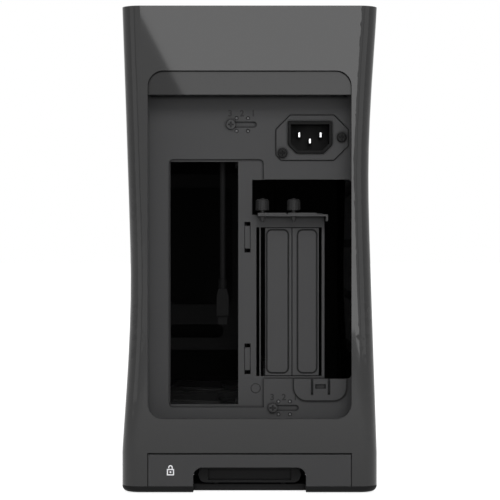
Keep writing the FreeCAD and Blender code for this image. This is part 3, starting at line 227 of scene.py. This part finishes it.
# parts inside the case, the standoffs too, take the darker inner coat, which paints shade into the dark interior
ownFinishes = {"rear_hood": "hoodCoat", "plinth": "plinthPlastic", "release_handle": "handlePlastic",
               "inlet_bezel": "chassisCoat", "front_plate": "paintedShadeInnerCoat", "supply_bracket": "paintedShadeInnerCoat",
               "spine_wall": "paintedShadeInnerCoat", "spine_post": "paintedShadeInnerCoat", "spine_rail_low": "paintedShadeInnerCoat",
               "spine_rail_high": "paintedShadeInnerCoat", "riser_bracket": "paintedShadeInnerCoat", "standoffs": "paintedShadeInnerCoat",
               "lead_plug": "plugPlastic"}
materials = {name: makeFinish(name) for name in finishes}
for subpart in frame["record"]["subparts"]:
    mesh = nodes[subpart["node"]].data
    mesh.materials.clear()
    mesh.materials.append(materials[ownFinishes.get(subpart["node"], slotFinishes[subpart["material_slot"]])])
print("finishes made:", len(materials))


# piece helpers
def settle(piece, name, finish, body, angle=35):
    bpy.ops.object.select_all(action="DESELECT")
    piece.select_set(True)
    bpy.context.view_layer.objects.active = piece
    bpy.ops.object.transform_apply(location=True, rotation=True, scale=True)
    bpy.ops.object.shade_smooth_by_angle(angle=math.radians(angle))
    piece.name = name
    piece.data.materials.clear()
    piece.data.materials.append(materials[finish])
    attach(piece, body)
    return piece


def editFaces(piece, wanted):
    bpy.ops.object.select_all(action="DESELECT")
    piece.select_set(True)
    bpy.context.view_layer.objects.active = piece
    bpy.context.tool_settings.mesh_select_mode = (False, False, True)
    bpy.ops.object.mode_set(mode="EDIT")
    bpy.ops.mesh.select_all(action="DESELECT")
    bpy.ops.object.mode_set(mode="OBJECT")
    for face in piece.data.polygons:
        face.select = wanted(face)
    bpy.ops.object.mode_set(mode="EDIT")


def leaveEdit():
    bpy.ops.object.mode_set(mode="OBJECT")


def joinAll(pieces):
    bpy.ops.object.select_all(action="DESELECT")
    for piece in pieces:
        piece.select_set(True)
    bpy.context.view_layer.objects.active = pieces[0]
    if len(pieces) > 1:
        bpy.ops.object.join()
    return bpy.context.object


def carve(piece, cutter):
    bpy.ops.object.select_all(action="DESELECT")
    piece.select_set(True)
    bpy.context.view_layer.objects.active = piece
    modifier = piece.modifiers.new("carve", "BOOLEAN")
    modifier.object = cutter
    bpy.ops.object.modifier_apply(modifier="carve")
    bpy.data.objects.remove(cutter)


# front lead inside the board aperture
leadSettings = {"route": ((-0.0032, -0.1485, 0.238), (-0.0178, -0.1485, 0.238), (-0.0178, -0.1485, 0.2234),
                          (-0.0178, -0.1485, 0.1375)), "diameter": 0.0036, "length": 0.111}

leadCurve = bpy.data.curves.new("frontLead", "CURVE")
leadCurve.dimensions = "3D"
leadCurve.bevel_depth = leadSettings["diameter"] / 2
leadCurve.use_fill_caps = True
leadLine = leadCurve.splines.new("NURBS")
leadLine.points.add(len(leadSettings["route"]) - 1)
for point, spot in zip(leadLine.points, leadSettings["route"]):
    point.co = (*spot, 1)
leadLine.order_u = 3
leadLine.use_endpoint_u = True
leadPiece = bpy.data.objects.new("frontLead", leadCurve)
scene.collection.objects.link(leadPiece)
leadCurve.materials.append(materials["leadSleeve"])
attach(leadPiece, "spine")
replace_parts(leadPiece, "front_lead")
print("front lead laid")


# cross-head screws of the spine clamps and the mains inlet
screwSettings = {"sides": 32, "round": 0.0006, "roundSteps": 4, "crossLength": 0.0038, "crossWidth": 0.0011,
                 "crossDepth": 0.0013}


def crossScrew(x, y, z, radius, height, shankRadius, shankLength):
    facing = (math.radians(90), 0, 0)
    bpy.ops.object.select_all(action="DESELECT")
    bpy.ops.mesh.primitive_cylinder_add(vertices=screwSettings["sides"], radius=radius, depth=height,
                                        location=(x, y - height / 2, z), rotation=facing)
    screw = bpy.context.object
    editFaces(screw, lambda face: face.normal.z > 0.5)
    bpy.ops.mesh.bevel(offset=screwSettings["round"], segments=screwSettings["roundSteps"], affect="EDGES")
    leaveEdit()
    editFaces(screw, lambda face: face.normal.z < -0.5)
    bpy.ops.mesh.inset(thickness=radius - shankRadius)
    bpy.ops.mesh.extrude_region_move(TRANSFORM_OT_translate={"value": (0, shankLength, 0)})
    leaveEdit()
    for size in ((screwSettings["crossLength"], screwSettings["crossWidth"]),
                 (screwSettings["crossWidth"], screwSettings["crossLength"])):
        bpy.ops.object.select_all(action="DESELECT")
        bpy.ops.mesh.primitive_cube_add(size=1, location=(x, y - height, z),
                                        scale=(size[0], 2 * screwSettings["crossDepth"], size[1]))
        carve(screw, bpy.context.object)
    return screw


clampSettings = {"places": ((-0.0123, 0.239), (0.0151, 0.0537)), "face": -0.161, "radius": 0.0031,
                 "height": 0.0016, "shankRadius": 0.0015, "shankLength": 0.0034}
inletScrewSettings = {"places": ((0.0215, 0.2203), (0.0602, 0.2306)), "face": -0.1618, "radius": 0.0032,
                      "height": 0.0015, "shankRadius": 0.0015, "shankLength": 0.003}
for look, pieceName, finish, body, nodeName in (
        (clampSettings, "clampScrews", "screwBlack", "spine", "clamp_screws"),
        (inletScrewSettings, "inletScrews", "inletScrew", "chassis", "inlet_screws")):
    heads = [crossScrew(x, look["face"], z, look["radius"], look["height"], look["shankRadius"],
                        look["shankLength"]) for x, z in look["places"]]
    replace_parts(settle(joinAll(heads), pieceName, finish, body), nodeName)
print("cross-head screws made")


# knurled thumbscrews on the slot covers
thumbSettings = {"sides": 48, "radius": 0.004, "ridge": 0.0003, "headLow": 0.1828, "height": 0.0064,
                 "chamfer": 0.0009, "taper": 0.78, "tipRadius": 0.0012, "tipHeight": 0.0006, "tipRound": 0.8,
                 "tipSteps": 3, "neckRadius": 0.0016, "neckLength": 0.0041, "coneRadius": 0.0025,
                 "coneLength": 0.0034, "coneTip": 0.0008, "y": -0.1687, "first": 0.0083,
                 "pitch": 0.02032, "smoothBelow": 25}


def thumbscrew():
    look = thumbSettings
    middle = (look["first"], look["y"], look["headLow"] + look["height"] / 2)
    bpy.ops.object.select_all(action="DESELECT")
    bpy.ops.mesh.primitive_cylinder_add(vertices=look["sides"], radius=look["radius"], depth=look["height"],
                                        location=middle)
    screw = bpy.context.object
    editFaces(screw, lambda face: len(face.vertices) == 4 and face.index % 2)
    bpy.ops.mesh.extrude_faces_move(TRANSFORM_OT_shrink_fatten={"value": look["ridge"]})
    leaveEdit()
    editFaces(screw, lambda face: len(face.vertices) > 4 and face.normal.z > 0.5)
    bpy.ops.mesh.extrude_region_move(TRANSFORM_OT_translate={"value": (0, 0, look["chamfer"])})
    bpy.ops.transform.resize(value=(look["taper"], look["taper"], 1), center_override=middle)
    bpy.ops.mesh.inset(thickness=look["radius"] * look["taper"] - look["tipRadius"])
    bpy.ops.mesh.extrude_region_move(TRANSFORM_OT_translate={"value": (0, 0, look["tipHeight"])})
    bpy.ops.mesh.bevel(offset=look["tipHeight"] * look["tipRound"], segments=look["tipSteps"], affect="EDGES")
    leaveEdit()
    editFaces(screw, lambda face: len(face.vertices) > 4 and face.normal.z < -0.5)
    bpy.ops.mesh.inset(thickness=look["radius"] - look["neckRadius"])
    bpy.ops.mesh.extrude_region_move(TRANSFORM_OT_translate={"value": (0, 0, -look["neckLength"])})
    for wide, drop in ((look["coneRadius"] / look["neckRadius"], 0),
                       (look["coneTip"] / look["coneRadius"], look["coneLength"])):
        bpy.ops.mesh.extrude_region_move(TRANSFORM_OT_translate={"value": (0, 0, -drop)})
        bpy.ops.transform.resize(value=(wide, wide, 1), center_override=middle)
    leaveEdit()
    return screw


firstThumb = settle(thumbscrew(), "thumbscrew1", "thumbBlack", "screw_1",
                    thumbSettings["smoothBelow"])
secondThumb = bpy.data.objects.new("thumbscrew2", firstThumb.data.copy())
scene.collection.objects.link(secondThumb)
secondThumb.location.x = thumbSettings["pitch"]
settle(secondThumb, "thumbscrew2", "thumbBlack", "screw_2", thumbSettings["smoothBelow"])
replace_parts(firstThumb, "thumbscrew_1")
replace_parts(secondThumb, "thumbscrew_2")
print("thumbscrews made")


# wing of the spine plate, seen in the corner of the rear panel's cut-out and behind the upper index slot
wingSettings = {"left": 0.0017, "stripRight": 0.0047, "right": 0.0106, "low": 0.2029, "tabTop": 0.2174,
                "top": 0.243, "rear": -0.1596, "thickness": 0.0012, "corner": 0.0012, "cornerSteps": 4}


def spineWing():
    look = wingSettings
    size = (look["stripRight"] - look["left"], look["thickness"], look["top"] - look["low"])
    bpy.ops.object.select_all(action="DESELECT")
    bpy.ops.mesh.primitive_cube_add(size=1, scale=size, location=(
        (look["left"] + look["stripRight"]) / 2, look["rear"] + look["thickness"] / 2,
        (look["low"] + look["top"]) / 2))
    wing = bpy.context.object
    bpy.ops.object.transform_apply(location=True, rotation=False, scale=True)
    editFaces(wing, lambda face: True)
    bpy.ops.mesh.bisect(plane_co=(0, 0, look["tabTop"]), plane_no=(0, 0, 1))
    leaveEdit()
    editFaces(wing, lambda face: face.normal.x > 0.5 and face.center.z < look["tabTop"])
    bpy.ops.mesh.extrude_region_move(TRANSFORM_OT_translate={"value": (look["right"] - look["stripRight"], 0, 0)})
    bpy.context.tool_settings.mesh_select_mode = (False, True, False)
    bpy.ops.mesh.select_all(action="DESELECT")
    bpy.ops.object.mode_set(mode="OBJECT")
    corners = wing.data.vertices
    for edge in wing.data.edges:
        start, end = [corners[index].co for index in edge.vertices]
        outside = min(start.x, end.x) > look["stripRight"] + look["corner"]
        edge.select = outside and abs(start.z - end.z) < look["corner"]
    bpy.ops.object.mode_set(mode="EDIT")
    bpy.ops.mesh.bevel(offset=look["corner"], segments=look["cornerSteps"], affect="EDGES")
    leaveEdit()
    return wing


settle(spineWing(), "spineWing", "chassisCoat", "spine")


# domes in the dimples beside the index slots, four to each clamp screw, with a lighter coat that paints in a glint
domeSettings = {"segments": 20, "rings": 10, "radius": 0.0007, "face": -0.1605, "flat": 0.5, "step": 0.0075,
                "rise": 0.0042}


def dome():
    bpy.ops.object.select_all(action="DESELECT")
    look = domeSettings
    bpy.ops.mesh.primitive_uv_sphere_add(segments=look["segments"], ring_count=look["rings"], radius=look["radius"],
                                         location=(0, look["face"], 0), scale=(1, look["flat"], 1))
    piece = bpy.context.object
    editFaces(piece, lambda face: True)
    bpy.ops.mesh.bisect(plane_co=(0, look["face"], 0), plane_no=(0, 1, 0), clear_outer=True, use_fill=True)
    leaveEdit()
    return piece


firstDome = dome()
domes = []
for x, z in clampSettings["places"]:
    for step in (0.5, 1.5):
        for rise in (-1, 1):
            copy = bpy.data.objects.new("dome", firstDome.data.copy())
            copy.matrix_world = firstDome.matrix_world.copy()
            copy.location.x = x + step * domeSettings["step"]
            copy.location.z = z + rise * domeSettings["rise"]
            scene.collection.objects.link(copy)
            domes.append(copy)
bpy.data.objects.remove(firstDome)
bpy.context.view_layer.update()
settle(joinAll(domes), "dimpleDomes", "paintedGlintDomeCoat", "chassis")


# printed index numbers
numberSettings = {"face": -0.161, "thickness": 0.00008, "size": 0.0056, "bold": 0.00008, "places": (
    ("3", -0.0127, 0.2462), ("2", -0.005, 0.2462), ("1", 0.0024, 0.2462), ("3", 0.0148, 0.0606),
    ("2", 0.0224, 0.0606), ("1", 0.0299, 0.0606))}

prints = []
for word, x, z in numberSettings["places"]:
    bpy.ops.object.select_all(action="DESELECT")
    bpy.ops.object.text_add()
    label = bpy.context.object
    label.data.body = word
    label.data.size = numberSettings["size"]
    label.data.align_x = "CENTER"
    label.data.align_y = "CENTER"
    label.data.extrude = numberSettings["thickness"] / 2
    label.data.offset = numberSettings["bold"]
    bpy.ops.object.convert(target="MESH")
    label = bpy.context.object
    label.location = (x, numberSettings["face"] - numberSettings["thickness"] / 2, z)
    label.rotation_euler = (math.radians(90), 0, 0)
    prints.append(label)
settle(joinAll(prints), "indexNumbers", "darkPrint", "chassis")
print("index marks made")


# blades of the mains inlet, with tapered tips
bladeSettings = {"places": ((0.0325, 0.2324), (0.0395, 0.2284), (0.0465, 0.2324)), "size": (0.002, 0.017, 0.004),
                 "tip": -0.1592, "tipTaper": 0.0005, "tipLength": 0.001}


def inletBlade(x, z):
    look = bladeSettings
    bpy.ops.object.select_all(action="DESELECT")
    bpy.ops.mesh.primitive_cube_add(size=1, location=(x, look["tip"] + look["tipLength"] + look["size"][1] / 2, z),
                                    scale=look["size"])
    blade = bpy.context.object
    bpy.ops.object.transform_apply(location=False, rotation=False, scale=True)
    editFaces(blade, lambda face: face.normal.y < -0.5)
    bpy.ops.mesh.extrude_region_move(TRANSFORM_OT_translate={"value": (0, -look["tipLength"], 0)})
    bpy.ops.transform.resize(value=(1 - 2 * look["tipTaper"] / look["size"][0], 1,
                                    1 - 2 * look["tipTaper"] / look["size"][2]),
                             center_override=(x, look["tip"], z))
    leaveEdit()
    return blade


bladePiece = joinAll([inletBlade(x, z) for x, z in bladeSettings["places"]])
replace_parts(settle(bladePiece, "inletBlades", "bladeMetal", "chassis"), "inlet_blades")


# padlock mark on the release panel: an outlined body, a dot and an open bow
lockSettings = {"x": -0.0508, "face": -0.183, "bodyLow": 0.0123, "bodySize": (0.0046, 0.0041), "line": 0.0007,
                "thickness": 0.0001, "proud": 0.00001, "dot": 0.0006, "bow": 0.0011, "legs": 0.001,
                "openLeg": 0.0006, "dotSides": 20, "bowSteps": 16}


def padlock():
    look = lockSettings
    facing = (math.radians(90), 0, 0)
    width, height = look["bodySize"]
    top = look["bodyLow"] + height
    y = look["face"] - look["proud"]
    bpy.ops.object.select_all(action="DESELECT")
    bpy.ops.mesh.primitive_plane_add(size=1, location=(look["x"], y, look["bodyLow"] + height / 2), rotation=facing)
    body = bpy.context.object
    body.scale = (width, height, 1)
    bpy.ops.object.transform_apply(location=False, rotation=False, scale=True)
    editFaces(body, lambda face: True)
    bpy.ops.mesh.inset(thickness=look["line"])
    bpy.ops.mesh.delete(type="FACE")
    bpy.ops.mesh.select_all(action="SELECT")
    bpy.ops.mesh.extrude_region_move(TRANSFORM_OT_translate={"value": (0, look["thickness"], 0)})
    leaveEdit()
    bpy.ops.object.select_all(action="DESELECT")
    bpy.ops.mesh.primitive_cylinder_add(vertices=look["dotSides"], radius=look["dot"], depth=look["thickness"],
                                        location=(look["x"], y + look["thickness"] / 2,
                                                  look["bodyLow"] + height / 2), rotation=facing)
    dot = bpy.context.object
    editFaces(dot, lambda face: len(face.vertices) > 4 and face.normal.z > 0.5)
    bpy.ops.mesh.bevel(offset=look["thickness"] / 3, segments=2, affect="EDGES")
    leaveEdit()
    bpy.ops.object.select_all(action="DESELECT")
    bpy.ops.mesh.primitive_plane_add(size=1, location=(look["x"] + look["bow"], y, top + look["legs"] / 2),
                                     rotation=facing)
    bow = bpy.context.object
    bow.scale = (look["line"], look["legs"], 1)
    bpy.ops.object.transform_apply(location=False, rotation=False, scale=True)
    bpy.context.tool_settings.mesh_select_mode = (False, True, False)
    bpy.ops.object.mode_set(mode="EDIT")
    bpy.ops.mesh.select_all(action="DESELECT")
    bpy.ops.object.mode_set(mode="OBJECT")
    corners = bow.data.vertices
    for edge in bow.data.edges:
        edge.select = all(corners[index].co.y > 0 for index in edge.vertices)
    bpy.ops.object.mode_set(mode="EDIT")
    bpy.ops.mesh.spin(steps=look["bowSteps"], angle=math.radians(180), center=(look["x"], y, top + look["legs"]),
                      axis=(0, 1, 0))
    bpy.ops.mesh.extrude_region_move(TRANSFORM_OT_translate={"value": (0, 0, -look["openLeg"])})
    bpy.ops.mesh.select_all(action="SELECT")
    bpy.ops.mesh.extrude_region_move(TRANSFORM_OT_translate={"value": (0, look["thickness"], 0)})
    leaveEdit()
    return joinAll([body, dot, bow])


settle(padlock(), "padlockMark", "whitePrint", "chassis")
print("blades and padlock mark made")


# pale floor, white to the camera, with the shadow kept
floorSettings = {"size": 40.0, "colour": (0.86, 0.86, 0.86, 1), "lift": 0.85}


def shownRay(paint):
    cameraRay, glossyRay, throughRay = [paint.add("ShaderNodeLightPath", out=kind) for kind in (
        "Is Camera Ray", "Is Glossy Ray", "Is Transmission Ray")]
    return cameraRay.sum("MAXIMUM", cameraRay.sum("MAXIMUM", cameraRay, glossyRay), throughRay)


bpy.ops.object.select_all(action="DESELECT")
bpy.ops.mesh.primitive_plane_add(size=floorSettings["size"], location=(0, 0, 0))
floor = bpy.context.object
floor.name = "floor"
floorPaint = Paint("paleFloor")
pale = floorPaint.add("ShaderNodeBsdfDiffuse", None, {"Color": floorSettings["colour"]})
glow = floorPaint.add("ShaderNodeEmission", None, {"Strength": floorSettings["lift"] * shownRay(floorPaint)})
floor.data.materials.append(floorPaint.surface(floorPaint.add("ShaderNodeAddShader", None, {0: pale, 1: glow})))


# soft light all round, a soft box above, a wide panel mirrored in the rear face, a panel on either side,
# and a leaning panel whose edge is mirrored in the upper left of the rear
lightSettings = {"ambient": 0.34,
                 "boxPlace": (0.1, -1.1, 0.8), "boxAim": 0.15, "boxSize": (0.6, 0.4), "boxPower": 5.4,
                 "facePlace": (0, -2.683, 0.157), "faceSize": (4.0, 1.2), "facePower": 8.0,
                 "sidePlace": (-1.9, -1.35, 0.25), "sideSize": (1.0, 0.8), "sidePower": 1.6,
                 "rightPlace": (2.6, -1.9, 0.25), "rightSize": (1.6, 0.9), "rightPower": 3.2,
                 "panelDistance": 2.4, "panelEdge": ((-0.0728, 0.3133), (-0.0433, 0.2575)),
                 "panelSize": (2.4, 1.0), "panelPower": 20.5}

world = bpy.data.worlds.new("studio")
scene.world = world
sky = Paint("studio", world)
ambient = lightSettings["ambient"]
backdrop = sky.add("ShaderNodeBackground", None, {"Color": (1, 1, 1, 1),
                                                  "Strength": ambient + (1 - ambient) * shownRay(sky)})
sky.add("ShaderNodeOutputWorld", None, {"Surface": backdrop})


def panelLight(name, place, direction, size, power):
    data = bpy.data.lights.new(name, "AREA")
    data.shape = "RECTANGLE"
    data.size, data.size_y = size
    data.energy = power
    lamp = bpy.data.objects.new(name, data)
    lamp.location = place
    lamp.rotation_euler = Vector(direction).to_track_quat("-Z", "Y").to_euler()
    scene.collection.objects.link(lamp)
    return lamp


for name, key, height in (("softBox", "box", lightSettings["boxAim"]), ("sidePanel", "side", caseHigh.z / 2),
                          ("rightPanel", "right", caseHigh.z / 2)):
    place = Vector(lightSettings[key + "Place"])
    lamp = panelLight(name, place, Vector((0, rearFace, height)) - place, lightSettings[key + "Size"],
                      lightSettings[key + "Power"])
    lamp.visible_glossy = key != "box"
panelLight("facePanel", lightSettings["facePlace"], (0, 1, 0), lightSettings["faceSize"],
           lightSettings["facePower"])

spread = 1 + lightSettings["panelDistance"] / cameraSettings["distance"]
eyeLevel = camera.location.z
upper, lower = [Vector((x * spread, rearFace - lightSettings["panelDistance"], eyeLevel + (z - eyeLevel) * spread))
                for x, z in lightSettings["panelEdge"]]
along = (upper - lower).normalized()
panelAway = Vector((along.z, 0, -along.x))
panelPlace = (upper + lower) / 2 + panelAway * lightSettings["panelSize"][1] / 2
leaningPanel = panelLight("leaningPanel", panelPlace, (0, 1, 0), lightSettings["panelSize"],
                          lightSettings["panelPower"])
leaningPanel.rotation_euler = (math.radians(90), -math.atan2(along.z, along.x), 0)
print("stage and lights set")
